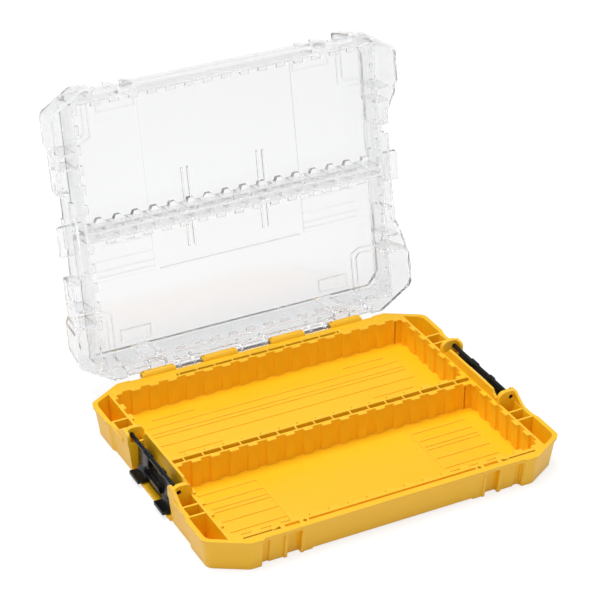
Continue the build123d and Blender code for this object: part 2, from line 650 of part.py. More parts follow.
def lid_panel_lines():
    """Panel steps, thin lines and short ribs on the inside of the lid's top."""
    half = TRAY_WALL / 2
    top = PANEL_INNER_Z + OVERLAP
    step_low = PANEL_INNER_Z - LID_PANEL_STEP
    line_z = (step_low - LID_LINE_HEIGHT, top)
    side = block((PANEL_EDGE_X, LID_END_WALL_X), (FRONT_WALL_Y, DIVIDER_FRONT_Y), (step_low, top))
    side += block((PANEL_EDGE_X, LID_END_WALL_X), (DIVIDER_REAR_Y, MID_LINE_Y), (step_low, top))
    for y in LID_LINES_Y:
        side += block((PANEL_EDGE_X, PANEL_FAR_X), (y - LID_LINE_WIDTH / 2, y + LID_LINE_WIDTH / 2), line_z)
    frame_y = (FRAME_BOX_Y_RUN[0] - HALF_DEPTH, FRAME_BOX_Y_RUN[1] - HALF_DEPTH)
    hinge_y = (HALF_DEPTH - HINGE_BOX_Y_RUN[0], HALF_DEPTH - HINGE_BOX_Y_RUN[1])
    side += flat_frame(along_front(FRAME_BOX_RUN, 0), frame_y, line_z)
    side += flat_frame(along_front(HINGE_BOX_RUN, 0), hinge_y, line_z)
    side += lid_corner_outline()
    rib_z = (PANEL_INNER_Z - LID_RIB_DROP, top)
    for x in LID_RIB_X:
        rib_x = (x - LID_RIB_WIDTH / 2, x + LID_RIB_WIDTH / 2)
        side += block(rib_x, (LID_RIB_Y[0], DIVIDER_FRONT_Y - half), rib_z)
        side += block(rib_x, (DIVIDER_REAR_Y + half, LID_RIB_Y[1]), rib_z)
    middle_x = HALF_WIDTH - MID_LINE_RUN
    middle = block((-middle_x, middle_x), (MID_LINE_Y, MID_LINE_Y + LID_LINE_WIDTH), line_z)
    return both_x(side) + middle


def hinge_lug(x):
    """Thin ear on the lid's back wall with a running bore for the hinge rod."""
    wall_y = HALF_DEPTH - LIP_PROUD - OVERLAP
    low = RIM_Z + LID_GAP
    high = HINGE_Z + LUG_RISE
    points = [(wall_y, low), (HINGE_Y, HINGE_Z), (HINGE_Y + LUG_R, HINGE_Z), (HALF_DEPTH, high),
              (wall_y, high)]
    return prism(Plane.YZ, points, x, x + LUG_WIDTH) + hinge_rod(LUG_R, x, x + LUG_WIDTH)


def lid_hollow():
    """Hollow of the lid: deep round the edge, shallower under the stacking well and hook seats."""
    hollow = lid_form(WALL, RIM_CEILING_Z)
    hollow -= stacking_well(PANEL_INNER_Z, RIM_CEILING_Z + OVERLAP, STACK_WALL)
    seat_x = (STACK_HALF_X - STACK_WALL, HALF_WIDTH)
    seat_y = (-LID_FLARE_Y, LID_FLARE_Y)
    seat = block(seat_x, seat_y, (PANEL_INNER_Z - HOOK_SEAT_DROP, RIM_CEILING_Z + OVERLAP))
    return hollow - both_x(seat)


def ear_room():
    """Room cut from the lid's lower edge so that it clears an ear and its cheek."""
    low = RIM_Z - OVERLAP
    near_y, shoulder_y, end_y = EAR_CLEAR_Y
    points = [(near_y, low), (near_y, EAR_CLEAR_Z), (shoulder_y, EAR_CLEAR_Z), (end_y, RIM_Z + LID_GAP),
              (end_y, low)]
    return prism(Plane.YZ, points, HALF_WIDTH - EAR_CLEAR_RUN, HALF_WIDTH + OUTSIDE)


def clear_lid():
    """The lid: one clear moulding, built closed and then turned open about the hinge."""
    body = lid_form(0, LID_TOP_Z)
    body -= lid_hollow()
    body += lid_walls()
    body += band_tabs()
    body += lid_panel_lines()
    body -= stacking_well(PANEL_OUTER_Z, LID_TOP_Z + OVERLAP, 0)
    body -= both_y(both_x(ear_room()))
    catch_x = (LID_RECESS_X - OVERLAP, HALF_WIDTH - CATCH_RUN)
    body += both_x(block(catch_x, (-CATCH_HALF, CATCH_HALF), (CATCH_LOW_Z, CATCH_HIGH_Z)))
    seat_y = (HOOK_SEAT_INNER_Y, LID_RECESS_HALF_Y)
    seat = block((HALF_WIDTH - HOOK_SEAT_RUN, HALF_WIDTH), seat_y, (HOOK_SEAT_Z, LID_TOP_Z + OVERLAP))
    body -= both_y(both_x(seat))
    for x in LUG_X:
        body += both_x(hinge_lug(x))
    for start, end in KNUCKLE_SPANS:
        body -= both_x(hinge_rod(KNUCKLE_R + KNUCKLE_GAP, start - KNUCKLE_GAP, end + KNUCKLE_GAP))
    body -= hinge_rod(PIN_R + RUNNING_GAP, -HALF_WIDTH, HALF_WIDTH)
    hinge_axis = Axis((0, HINGE_Y, HINGE_Z), (1, 0, 0))
    return body.rotate(hinge_axis, -OPEN_ANGLE)


def pivot_rod(radius, start, end):
    """Round bar along the right latch's pivot between two y values."""
    return Pos(PIVOT_X, (start + end) / 2, PIVOT_Z) * Rot(90, 0, 0) * Cylinder(radius, end - start)


def latch():
    """One latch hanging from its pivot on the right: bar, plate, window, grip and two hooks."""
    plate_inner = PIVOT_X + PLATE_INNER_REACH
    plate_outer = PIVOT_X + PLATE_OUTER_REACH
    neck_inner = PIVOT_X - BARREL_R
    profile = [(neck_inner, PIVOT_Z), (neck_inner, NECK_LOW_Z), (plate_inner, PLATE_SHOULDER_Z),
               (plate_inner, PLATE_LOW_Z), (plate_outer, PLATE_LOW_Z), (plate_outer, NECK_LOW_Z),
               (PIVOT_X, NECK_LOW_Z + NECK_BEND), (PIVOT_X, PIVOT_Z)]
    body = pivot_rod(BARREL_R, -BARREL_HALF, BARREL_HALF) + pivot_rod(STUB_R, -STUB_END_Y, STUB_END_Y)
    for start, end in BUMP_SPANS:
        body += pivot_rod(BUMP_R, start, end)
    body += prism(Plane.XZ, profile, -PLATE_HALF, PLATE_HALF)
    window_x = (plate_inner - OVERLAP, PIVOT_X + BARREL_R)
    body -= block(window_x, (-WINDOW_HALF, WINDOW_HALF), (WINDOW_LOW_Z, WINDOW_HIGH_Z))
    grip_outer = PIVOT_X + GRIP_REACH
    grip = block((plate_outer - OVERLAP, grip_outer), (-GRIP_HALF, GRIP_HALF), (GRIP_LOW_Z, GRIP_HIGH_Z))
    grip_edges = [e for e in grip.edges().filter_by(Axis.Y) if e.center().X > grip_outer - FIXED_GAP]
    body += fillet(grip_edges, GRIP_ROUND)
    root = plate_outer - OVERLAP
    tip = PIVOT_X + HOOK_REACH
    hook_points = [(root, PLATE_LOW_Z), (root, HOOK_ROOT_Z), (plate_outer, HOOK_ROOT_Z),
                   (PIVOT_X + HOOK_ROOT_REACH, HOOK_TOP_Z), (tip, HOOK_TOP_Z),
                   (tip, PLATE_LOW_Z + HOOK_BEVEL), (tip - HOOK_BEVEL, PLATE_LOW_Z)]
    return body + both_y(prism(Plane.XZ, hook_points, HOOK_INNER_Y, HOOK_OUTER_Y))


def pieces():
    """Every piece of the case by name."""
    right = latch()
    pin_half = HALF_WIDTH - PIN_RUN
    return {
        "base_tray": base_tray(),
        "clear_lid": clear_lid(),
        "latch_right": right,
        "latch_left": mirror(right, about=Plane.YZ),
        "hinge_pin": hinge_rod(PIN_R, -pin_half, pin_half),
    }


def main():
    """Write one STEP file for each piece."""
    os.makedirs("parts", exist_ok=True)
    for name, solid in pieces().items():
        export_step(solid, f"parts/{name}.step")


main()
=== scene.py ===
"""Looks of a shallow two-bay bit storage case with a clear hinged lid and two hook latches."""

from __future__ import annotations

import json
import logging
import math
from dataclasses import dataclass, field
from enum import Enum

import bmesh
import bpy
from mathutils import Matrix, Vector

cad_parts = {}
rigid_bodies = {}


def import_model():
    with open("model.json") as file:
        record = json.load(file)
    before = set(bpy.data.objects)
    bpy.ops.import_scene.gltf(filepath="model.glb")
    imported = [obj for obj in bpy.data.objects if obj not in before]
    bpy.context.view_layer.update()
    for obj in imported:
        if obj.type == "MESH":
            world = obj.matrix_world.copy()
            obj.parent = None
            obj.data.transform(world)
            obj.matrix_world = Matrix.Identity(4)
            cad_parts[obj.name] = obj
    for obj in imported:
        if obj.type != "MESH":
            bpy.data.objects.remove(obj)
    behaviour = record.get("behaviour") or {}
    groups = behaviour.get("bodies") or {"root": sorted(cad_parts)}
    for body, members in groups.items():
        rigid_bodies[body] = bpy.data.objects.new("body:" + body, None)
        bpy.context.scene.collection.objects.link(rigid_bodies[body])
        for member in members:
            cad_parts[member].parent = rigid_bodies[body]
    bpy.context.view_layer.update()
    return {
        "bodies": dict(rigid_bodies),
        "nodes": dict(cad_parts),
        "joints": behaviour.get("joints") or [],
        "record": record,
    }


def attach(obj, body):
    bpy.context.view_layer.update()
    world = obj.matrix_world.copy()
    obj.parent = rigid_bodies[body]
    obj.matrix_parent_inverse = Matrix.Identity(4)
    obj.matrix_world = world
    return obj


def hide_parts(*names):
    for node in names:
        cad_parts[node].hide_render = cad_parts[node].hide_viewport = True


logging.basicConfig(level=logging.INFO, format="%(message)s")
LOG = logging.getLogger("bit_case")

MM = 0.001
UP = Vector((0.0, 0.0, 1.0))
SAME_WAY = 0.98
SHARP_ANGLE = 32.0
ALL_BOUNCES = 32
GLASS_BOUNCES = 28
BLACK = (0.0, 0.0, 0.0, 1.0)
WHITE = (1.0, 1.0, 1.0, 1.0)
Colour = tuple[float, float, float, float]
Point = tuple[float, float, float]


class Side(Enum):
    """Which end of the case a part belongs to."""

    LEFT = -1
    RIGHT = 1


def socket(
    group: bpy.types.NodeTree, name: str, kind: str, way: str, value: float | None = None
) -> None:
    """Add one named socket to a node group.

    Args:
        group: the group that gets the socket.
        name: the socket's name.
        kind: its Blender type.
        way: INPUT or OUTPUT.
        value: its default, where it has one.
    """
    made = group.interface.new_socket(name=name, in_out=way, socket_type=kind)
    if value is not None:
        made.default_value = value


class NodeBench:
    """Small helper that lays nodes in one tree and links them."""

    def __init__(self, tree: bpy.types.NodeTree) -> None:
        """Keep the tree that the nodes go into."""
        self.tree = tree

    def add(self, kind: str, **settings: object) -> bpy.types.Node:
        """Add one node.

        Args:
            kind: the node's Blender type.
            settings: attributes to set on it.

        Returns:
            The new node.
        """
        node = self.tree.nodes.new(kind)
        for name, value in settings.items():
            setattr(node, name, value)
        return node

    def link(self, source: bpy.types.NodeSocket, target: bpy.types.NodeSocket) -> None:
        """Join two sockets."""
        self.tree.links.new(source, target)

    def math(
        self, operation: str, first: object, second: object = 0.0, clamp: bool = False
    ) -> bpy.types.NodeSocket:
        """Add a Math node.

        Args:
            operation: the sum it does.
            first: a socket or a number.
            second: a socket or a number.
            clamp: whether the result is held between 0 and 1.

        Returns:
            The node's result.
        """
        node = self.add("ShaderNodeMath", operation=operation, use_clamp=clamp)
        for index, value in enumerate((first, second)):
            if isinstance(value, bpy.types.NodeSocket):
                self.link(value, node.inputs[index])
            else:
                node.inputs[index].default_value = value
        return node.outputs[0]

    def mix_colour(self, mask: object, low: object, high: object) -> bpy.types.NodeSocket:
        """Mix two colours.

        Args:
            mask: a socket or a number for the share of the second colour.
            low: the first colour, or a socket.
            high: the second colour, or a socket.

        Returns:
            The mixed colour.
        """
        node = self.add("ShaderNodeMix", data_type="RGBA")
        for index, value in ((0, mask), (6, low), (7, high)):
            if isinstance(value, bpy.types.NodeSocket):
                self.link(value, node.inputs[index])
            else:
                node.inputs[index].default_value = value
        return node.outputs[2]

    def span(
        self, value: bpy.types.NodeSocket, low: float, high: float, to_low: float, to_high: float
    ) -> bpy.types.NodeSocket:
        """Map a value from one range to another.

        Args:
            value: the value to map.
            low: start of its range.
            high: end of its range.
            to_low: start of the new range.
            to_high: end of the new range.

        Returns:
            The mapped value.
        """
        node = self.add("ShaderNodeMapRange")
        self.link(value, node.inputs["Value"])
        limits = (("From Min", low), ("From Max", high), ("To Min", to_low), ("To Max", to_high))
        for name, number in limits:
            node.inputs[name].default_value = number
        return node.outputs["Result"]

    def bump(self, height: bpy.types.NodeSocket, strength: float, depth: float) -> bpy.types.Node:
        """Add a Bump node that a height feeds.

        Args:
            height: the height.
            strength: how much of it counts.
            depth: how deep it goes, in metres.

        Returns:
            The node.
        """
        node = self.add("ShaderNodeBump")
        node.inputs["Strength"].default_value = strength
        node.inputs["Distance"].default_value = depth
        self.link(height, node.inputs["Height"])
        return node


def fresh_material(name: str) -> tuple[bpy.types.Material, NodeBench, bpy.types.Node]:
    """Start a material.

    Args:
        name: its name.

    Returns:
        The material, the bench for its nodes and its Principled shader.
    """
    material = bpy.data.materials.new(name)
    material.use_nodes = True
    shader = material.node_tree.nodes["Principled BSDF"]
    return material, NodeBench(material.node_tree), shader


class Effects:
    """Node groups that more than one finish uses."""

    EDGE_GAIN = 6.0
    PAINTED_SHADE_SPAN = (0.3, 0.9)

    def __init__(self) -> None:
        """Build each group once."""
        self.grain = self._grain()
        self.edges = self._edges()
        self.painted_shade = self._painted_shade_group()

    @staticmethod
    def _grain() -> bpy.types.NodeTree:
        """Fine moulded grain with slow mottling over it.

        Returns:
            The group, with outputs Height and Mottle.
        """
        group = bpy.data.node_groups.new("moulded_grain", "ShaderNodeTree")
        socket(group, "Grain Scale", "NodeSocketFloat", "INPUT", 2500.0)
        socket(group, "Mottle Scale", "NodeSocketFloat", "INPUT", 30.0)
        socket(group, "Height", "NodeSocketFloat", "OUTPUT")
        socket(group, "Mottle", "NodeSocketFloat", "OUTPUT")
        bench = NodeBench(group)
        inside = bench.add("NodeGroupInput")
        outside = bench.add("NodeGroupOutput")
        place = bench.add("ShaderNodeTexCoord")
        fine = bench.add("ShaderNodeTexNoise")
        fine.inputs["Detail"].default_value = 3.0
        fine.inputs["Roughness"].default_value = 0.6
        slow = bench.add("ShaderNodeTexNoise")
        slow.inputs["Detail"].default_value = 4.0
        for node, name in ((fine, "Grain Scale"), (slow, "Mottle Scale")):
            bench.link(place.outputs["Object"], node.inputs["Vector"])
            bench.link(inside.outputs[name], node.inputs["Scale"])
        bench.link(fine.outputs["Fac"], outside.inputs["Height"])
        bench.link(slow.outputs["Fac"], outside.inputs["Mottle"])
        return group

    @staticmethod
    def _edges() -> bpy.types.NodeTree:
        """Softly rounded edges, and a mask of where they are, for the painted edge highlight.

        Returns:
            The group, with outputs Normal and Edge.
        """
        group = bpy.data.node_groups.new("rounded_edges", "ShaderNodeTree")
        socket(group, "Radius", "NodeSocketFloat", "INPUT", 0.0003)
        socket(group, "Spread", "NodeSocketFloat", "INPUT", 0.0006)
        socket(group, "Normal", "NodeSocketVector", "OUTPUT")
        socket(group, "Edge", "NodeSocketFloat", "OUTPUT")
        bench = NodeBench(group)
        inside = bench.add("NodeGroupInput")
        outside = bench.add("NodeGroupOutput")
        round_off = bench.add("ShaderNodeBevel", samples=4)
        wide = bench.add("ShaderNodeBevel", samples=4)
        bench.link(inside.outputs["Radius"], round_off.inputs["Radius"])
        bench.link(inside.outputs["Spread"], wide.inputs["Radius"])
        shape = bench.add("ShaderNodeNewGeometry")
        dot = bench.add("ShaderNodeVectorMath", operation="DOT_PRODUCT")
        bench.link(wide.outputs["Normal"], dot.inputs[0])
        bench.link(shape.outputs["True Normal"], dot.inputs[1])
        bent = bench.math("SUBTRACT", 1.0, dot.outputs["Value"])
        edge = bench.math("MULTIPLY", bent, Effects.EDGE_GAIN, clamp=True)
        bench.link(edge, outside.inputs["Edge"])
        bench.link(round_off.outputs["Normal"], outside.inputs["Normal"])
        return group

    @staticmethod
    def _painted_shade_group() -> bpy.types.NodeTree:
        """Mask for painted shade: inner corners, gaps and bay walls that the same piece hems in.

        Returns:
            The group, with output Fold.
        """
        group = bpy.data.node_groups.new("inner_corners", "ShaderNodeTree")
        socket(group, "Reach", "NodeSocketFloat", "INPUT", 0.003)
        socket(group, "Fold", "NodeSocketFloat", "OUTPUT")
        bench = NodeBench(group)
        inside = bench.add("NodeGroupInput")
        outside = bench.add("NodeGroupOutput")
        near = bench.add("ShaderNodeAmbientOcclusion", samples=8, only_local=True)
        bench.link(inside.outputs["Reach"], near.inputs["Distance"])
        painted_shade_mask = bench.span(near.outputs["AO"], *Effects.PAINTED_SHADE_SPAN, 1.0, 0.0)
        bench.link(painted_shade_mask, outside.inputs["Fold"])
        return group


@dataclass(frozen=True)
class MouldedPlastic:
    """Opaque moulded plastic: fine grain, painted highlight on edges, painted shade in corners.

    mottle_range and polish_range are the stretches of the slow mottling that move the colour and
    the roughness, and polish_change is how far the roughness moves down and up.
    """

    name: str
    colour: Colour
    deep_colour: Colour
    # painted highlight: the lighter colour laid along edges
    painted_highlight_colour: Colour
    # painted shade: the colour that inner corners, gaps and bay walls are pulled towards
    painted_shade_colour: Colour
    roughness: float
    painted_shade_reach: float = 0.006
    grain_scale: float = 2200.0
    grain_depth: float = 0.00003
    grain_strength: float = 0.5
    edge_radius: float = 0.00035
    edge_spread: float = 2.0
    mottle_scale: float = 28.0
    mottle_range: tuple[float, float] = (0.3, 0.7)
    polish_range: tuple[float, float] = (0.2, 0.8)
    polish_change: tuple[float, float] = (-0.05, 0.07)
    gloss: float = 0.5
    painted_shade_share: float = 0.85
    painted_highlight_share: float = 0.7
    ior: float = 1.49

    def build(self, effects: Effects) -> bpy.types.Material:
        """Make the material.

        Args:
            effects: the shared node groups.

        Returns:
            The finished material.
        """
        material, bench, shader = fresh_material(self.name)
        grain = bench.add("ShaderNodeGroup", node_tree=effects.grain)
        grain.inputs["Grain Scale"].default_value = self.grain_scale
        grain.inputs["Mottle Scale"].default_value = self.mottle_scale
        edges = bench.add("ShaderNodeGroup", node_tree=effects.edges)
        edges.inputs["Radius"].default_value = self.edge_radius
        edges.inputs["Spread"].default_value = self.edge_radius * self.edge_spread
        mottle = bench.span(grain.outputs["Mottle"], *self.mottle_range, 0.0, 1.0)
        mottled = bench.mix_colour(mottle, self.deep_colour, self.colour)
        # painted shade: the corner mask mixes the plastic towards its shade colour in inner corners
        # and gaps
        painted_shade = bench.add("ShaderNodeGroup", node_tree=effects.painted_shade)
        painted_shade.inputs["Reach"].default_value = self.painted_shade_reach
        painted_shade_mask = bench.math("MULTIPLY", painted_shade.outputs["Fold"], self.painted_shade_share)
        shaded = bench.mix_colour(painted_shade_mask, mottled, self.painted_shade_colour)
        # painted highlight: edges are mixed towards a lighter edge colour
        edge = bench.math("MULTIPLY", edges.outputs["Edge"], self.painted_highlight_share)
        edge_highlighted = bench.mix_colour(edge, shaded, self.painted_highlight_colour)
        bench.link(edge_highlighted, shader.inputs["Base Color"])
        polish = [self.roughness + change for change in self.polish_change]
        rough = bench.span(grain.outputs["Mottle"], *self.polish_range, *polish)
        bench.link(rough, shader.inputs["Roughness"])
        bump = bench.bump(grain.outputs["Height"], self.grain_strength, self.grain_depth)
        bench.link(edges.outputs["Normal"], bump.inputs["Normal"])
        bench.link(bump.outputs["Normal"], shader.inputs["Normal"])
        shader.inputs["IOR"].default_value = self.ior
        shader.inputs["Specular IOR Level"].default_value = self.gloss
        return material


@dataclass(frozen=True)
class ClearPlastic:
    """Clear polycarbonate: bright face on, with painted grey shade on its walls seen edge on.

    Where light has turned inside it more than a set number of times (from, to), it glows a pale
    grey: painted light in place of the dark that such long paths give.
    """

    name: str
    face_colour: Colour = (0.955, 0.96, 0.966, 1.0)
    # painted shade: the grey that walls seen edge on are tinted
    grazing_shade_colour: Colour = (0.825, 0.828, 0.834, 1.0)
    ior: float = 1.36
    clearness: float = 0.95
    polish: tuple[float, float] = (0.03, 0.09)
    polish_range: tuple[float, float] = (0.3, 0.8)
    # painted light: strength of the pale glow inside the plastic
    haze: float = 0.15
    haze_turns: tuple[float, float] = (8.0, 13.0)
    wall_blend: float = 0.35
    wall_from: float = 0.25
    wall_power: float = 1.6
    grain_scale: float = 260.0
    grain_depth: float = 0.0001
    grain_strength: float = 0.15
    mottle_scale: float = 24.0

    def build(self, effects: Effects) -> bpy.types.Material:
        """Make the material.

        Args:
            effects: the shared node groups.

        Returns:
            The finished material.
        """
        material, bench, shader = fresh_material(self.name)
        # painted shade: walls seen edge on are tinted grey by the facing mask
        facing = bench.add("ShaderNodeLayerWeight")
        facing.inputs["Blend"].default_value = self.wall_blend
        steep = bench.span(facing.outputs["Facing"], self.wall_from, 1.0, 0.0, 1.0)
        wall_shade_mask = bench.math("POWER", steep, self.wall_power)
        tint_and_wall_shade = bench.mix_colour(wall_shade_mask, self.face_colour, self.grazing_shade_colour)
        bench.link(tint_and_wall_shade, shader.inputs["Base Color"])
        grain = bench.add("ShaderNodeGroup", node_tree=effects.grain)
        grain.inputs["Grain Scale"].default_value = self.grain_scale
        grain.inputs["Mottle Scale"].default_value = self.mottle_scale
        rough = bench.span(grain.outputs["Mottle"], *self.polish_range, *self.polish)
        bench.link(rough, shader.inputs["Roughness"])
        bump = bench.bump(grain.outputs["Height"], self.grain_strength, self.grain_depth)
        bench.link(bump.outputs["Normal"], shader.inputs["Normal"])
        shader.inputs["Transmission Weight"].default_value = self.clearness
        shader.inputs["IOR"].default_value = self.ior
        # painted light: past many turns inside the plastic, it glows pale grey
        path = bench.add("ShaderNodeLightPath")
        far = bench.span(path.outputs["Ray Depth"], *self.haze_turns, 0.0, 1.0)
        glow = bench.mix_colour(far, BLACK, self.face_colour)
        bench.link(glow, shader.inputs["Emission Color"])
        shader.inputs["Emission Strength"].default_value = self.haze
        return material


@dataclass(frozen=True)
class DrawnSteel:
    """Bright drawn steel rod with fine lines along its length."""

    name: str
    colour: Colour = (0.62, 0.62, 0.64, 1.0)
    dark_colour: Colour = (0.42, 0.42, 0.45, 1.0)
    line_scale: Point = (60.0, 3000.0, 3000.0)
    polish: tuple[float, float] = (0.18, 0.34)
    polish_range: tuple[float, float] = (0.2, 0.8)
    grain_depth: float = 0.00002
    grain_strength: float = 0.2

    def build(self, effects: Effects) -> bpy.types.Material:
        """Make the material.

        Args:
            effects: the shared node groups.

        Returns:
            The finished material.
        """
        material, bench, shader = fresh_material(self.name)
        place = bench.add("ShaderNodeTexCoord")
        stretch = bench.add("ShaderNodeMapping")
        stretch.inputs["Scale"].default_value = self.line_scale
        bench.link(place.outputs["Object"], stretch.inputs["Vector"])
        lines = bench.add("ShaderNodeTexNoise")
        lines.inputs["Scale"].default_value = 1.0
        bench.link(stretch.outputs["Vector"], lines.inputs["Vector"])
        lined = bench.mix_colour(lines.outputs["Fac"], self.dark_colour, self.colour)
        bench.link(lined, shader.inputs["Base Color"])
        rough = bench.span(lines.outputs["Fac"], *self.polish_range, *self.polish)
        bench.link(rough, shader.inputs["Roughness"])
        grain = bench.add("ShaderNodeGroup", node_tree=effects.grain)
        bump = bench.bump(grain.outputs["Height"], self.grain_strength, self.grain_depth)
        bench.link(bump.outputs["Normal"], shader.inputs["Normal"])
        shader.inputs["Metallic"].default_value = 1.0
        return material


TRAY_PLASTIC = MouldedPlastic(
    name="tray_plastic",
    colour=(0.86, 0.48, 0.012, 1.0),
    deep_colour=(0.85, 0.465, 0.009, 1.0),
    # painted highlight: a lighter yellow along the tray's edges
    painted_highlight_colour=(0.94, 0.60, 0.07, 1.0),
    # painted shade: a deeper orange in the tray's inner corners, gaps and bay walls
    painted_shade_colour=(1.0, 0.56, 0.002, 1.0),
    roughness=0.42,
    painted_shade_reach=0.04,
)
LATCH_PLASTIC = MouldedPlastic(
    name="latch_plastic",
    colour=(0.007, 0.007, 0.0075, 1.0),
    deep_colour=(0.005, 0.005, 0.0055, 1.0),
    # painted highlight: a lighter black along the latch's edges
    painted_highlight_colour=(0.016, 0.016, 0.017, 1.0),
    # painted shade: a deeper black in the latch's inner corners
    painted_shade_colour=(0.004, 0.004, 0.0045, 1.0),
    roughness=0.27,
    gloss=0.24,
)
LID_PLASTIC = ClearPlastic(name="lid_plastic")
ROD_STEEL = DrawnSteel(name="rod_steel")


@dataclass
class Tray:
    """The yellow tray, kept as the frame has it, in its finish."""

    node: str = "base_tray"

    def dress(self, frame: dict, material: bpy.types.Material) -> None:
        """Give the tray its plastic."""
        paint(frame["nodes"][self.node], material)
        LOG.info("tray dressed")


@dataclass
class Lid:
    """The clear lid, kept as the frame has it, in its finish."""

    node: str = "clear_lid"

    def dress(self, frame: dict, material: bpy.types.Material) -> None:
        """Give the lid its clear plastic."""
        paint(frame["nodes"][self.node], material)
        LOG.info("lid dressed")


def paint(thing: bpy.types.Object, material: bpy.types.Material) -> None:
    """Put one material in every slot of a piece.

    Args:
        thing: the piece.
        material: its material.
    """
    if not thing.material_slots:
        thing.data.materials.append(material)
    for place in thing.material_slots:
        place.material = material


def turned_bar(stations: list[tuple[float, float]], segments: int = 40) -> bmesh.types.BMesh:
    """Round bar along Y whose radius changes along its length.

    Args:
        stations: place along the bar and radius, in mm, from one end to the other.
        segments: sides of the bar.

    Returns:
        The bar as a closed shape.
    """
    bar = bmesh.new()
    place, radius = stations[0]
    upright = Matrix.Rotation(math.radians(90.0), 4, "X")
    stand = Matrix.Translation((0.0, place * MM, 0.0)) @ upright
    bmesh.ops.create_circle(bar, cap_ends=True, segments=segments, radius=radius * MM, matrix=stand)
    end = bar.faces[:][0]
    for next_place, next_radius in stations[1:]:
        grown = bmesh.ops.extrude_face_region(bar, geom=[end])["geom"]
        end = next(item for item in grown if isinstance(item, bmesh.types.BMFace))
        step = Matrix.Translation((0.0, (next_place - place) * MM, 0.0))
        size = next_radius / radius
        about = Matrix.Translation((0.0, -place * MM, 0.0))
        bmesh.ops.scale(bar, vec=(size, 1.0, size), verts=end.verts, space=about)
        bmesh.ops.transform(bar, matrix=step, verts=end.verts)
        place, radius = next_place, next_radius
    bmesh.ops.recalc_face_normals(bar, faces=bar.faces)
    return bar


def soften(shape: bmesh.types.BMesh, width: float, steps: int = 2, sharp: float = 35.0) -> None:
    """Round the sharp edges of a shape.

    Args:
        shape: the shape to work on.
        width: how far the rounding reaches, in mm.
        steps: how many faces go round each edge.
        sharp: the least angle between faces that counts, in degrees.
    """
    limit = math.radians(sharp)
    edges = [edge for edge in shape.edges if edge.is_manifold and edge.calc_face_angle() > limit]
    bmesh.ops.bevel(shape, geom=edges, offset=width * MM, segments=steps, profile=0.5,
                    affect="EDGES", material=-1, clamp_overlap=True)


def dish(
    shape: bmesh.types.BMesh, faces: list[bmesh.types.BMFace], margin: float, depth: float
) -> None:
    """Sink upward faces a little inside a margin.

    Args:
        shape: the shape to work on.
        faces: the faces.
        margin: width of the strip that stays up, in mm.
        depth: how far the rest sinks, in mm.
    """
    bmesh.ops.inset_region(shape, faces=faces, thickness=margin * MM, depth=0.0)
    sunk = list({vert for face in faces for vert in face.verts})
    bmesh.ops.translate(shape, vec=(0.0, 0.0, -depth * MM), verts=sunk)


def brick(low: Point, high: Point) -> bmesh.types.BMesh:
    """Plain box to be worked further, between two corners in mm.

    Args:
        low: lowest corner.
        high: highest corner.

    Returns:
        The box.
    """
    low_point, high_point = Vector(low) * MM, Vector(high) * MM
    span = high_point - low_point
    place = Matrix.Translation((low_point + high_point) / 2) @ Matrix.Diagonal((*span, 1.0))
    box = bmesh.new()
    bmesh.ops.create_cube(box, size=1.0, matrix=place)
    return box


def facing(shape: bmesh.types.BMesh, way: Vector) -> list[bmesh.types.BMFace]:
    """Faces of a shape that point one way."""
    shape.normal_update()
    return [face for face in shape.faces if face.normal.dot(way) > SAME_WAY]


def gather(shapes: list[bmesh.types.BMesh], name: str, flip: bool = False) -> bpy.types.Object:
    """Join worked shapes into one object.

    Args:
        shapes: the shapes, which are used up.
        name: the object's name.
        flip: whether it is turned into its mirror image across X.

    Returns:
        The object, in the scene.
    """
    whole = bmesh.new()
    for shape in shapes:
        spare = bpy.data.meshes.new("spare")
        shape.to_mesh(spare)
        shape.free()
        whole.from_mesh(spare)
        bpy.data.meshes.remove(spare)
    if flip:
        bmesh.ops.scale(whole, vec=(-1.0, 1.0, 1.0), verts=whole.verts)
        bmesh.ops.reverse_faces(whole, faces=whole.faces)
    for face in whole.faces:
        face.smooth = True
    mesh = bpy.data.meshes.new(name)
    whole.to_mesh(mesh)
    whole.free()
    mesh.set_sharp_from_angle(angle=math.radians(SHARP_ANGLE))
    thing = bpy.data.objects.new(name, mesh)
    bpy.context.scene.collection.objects.link(thing)
    return thing


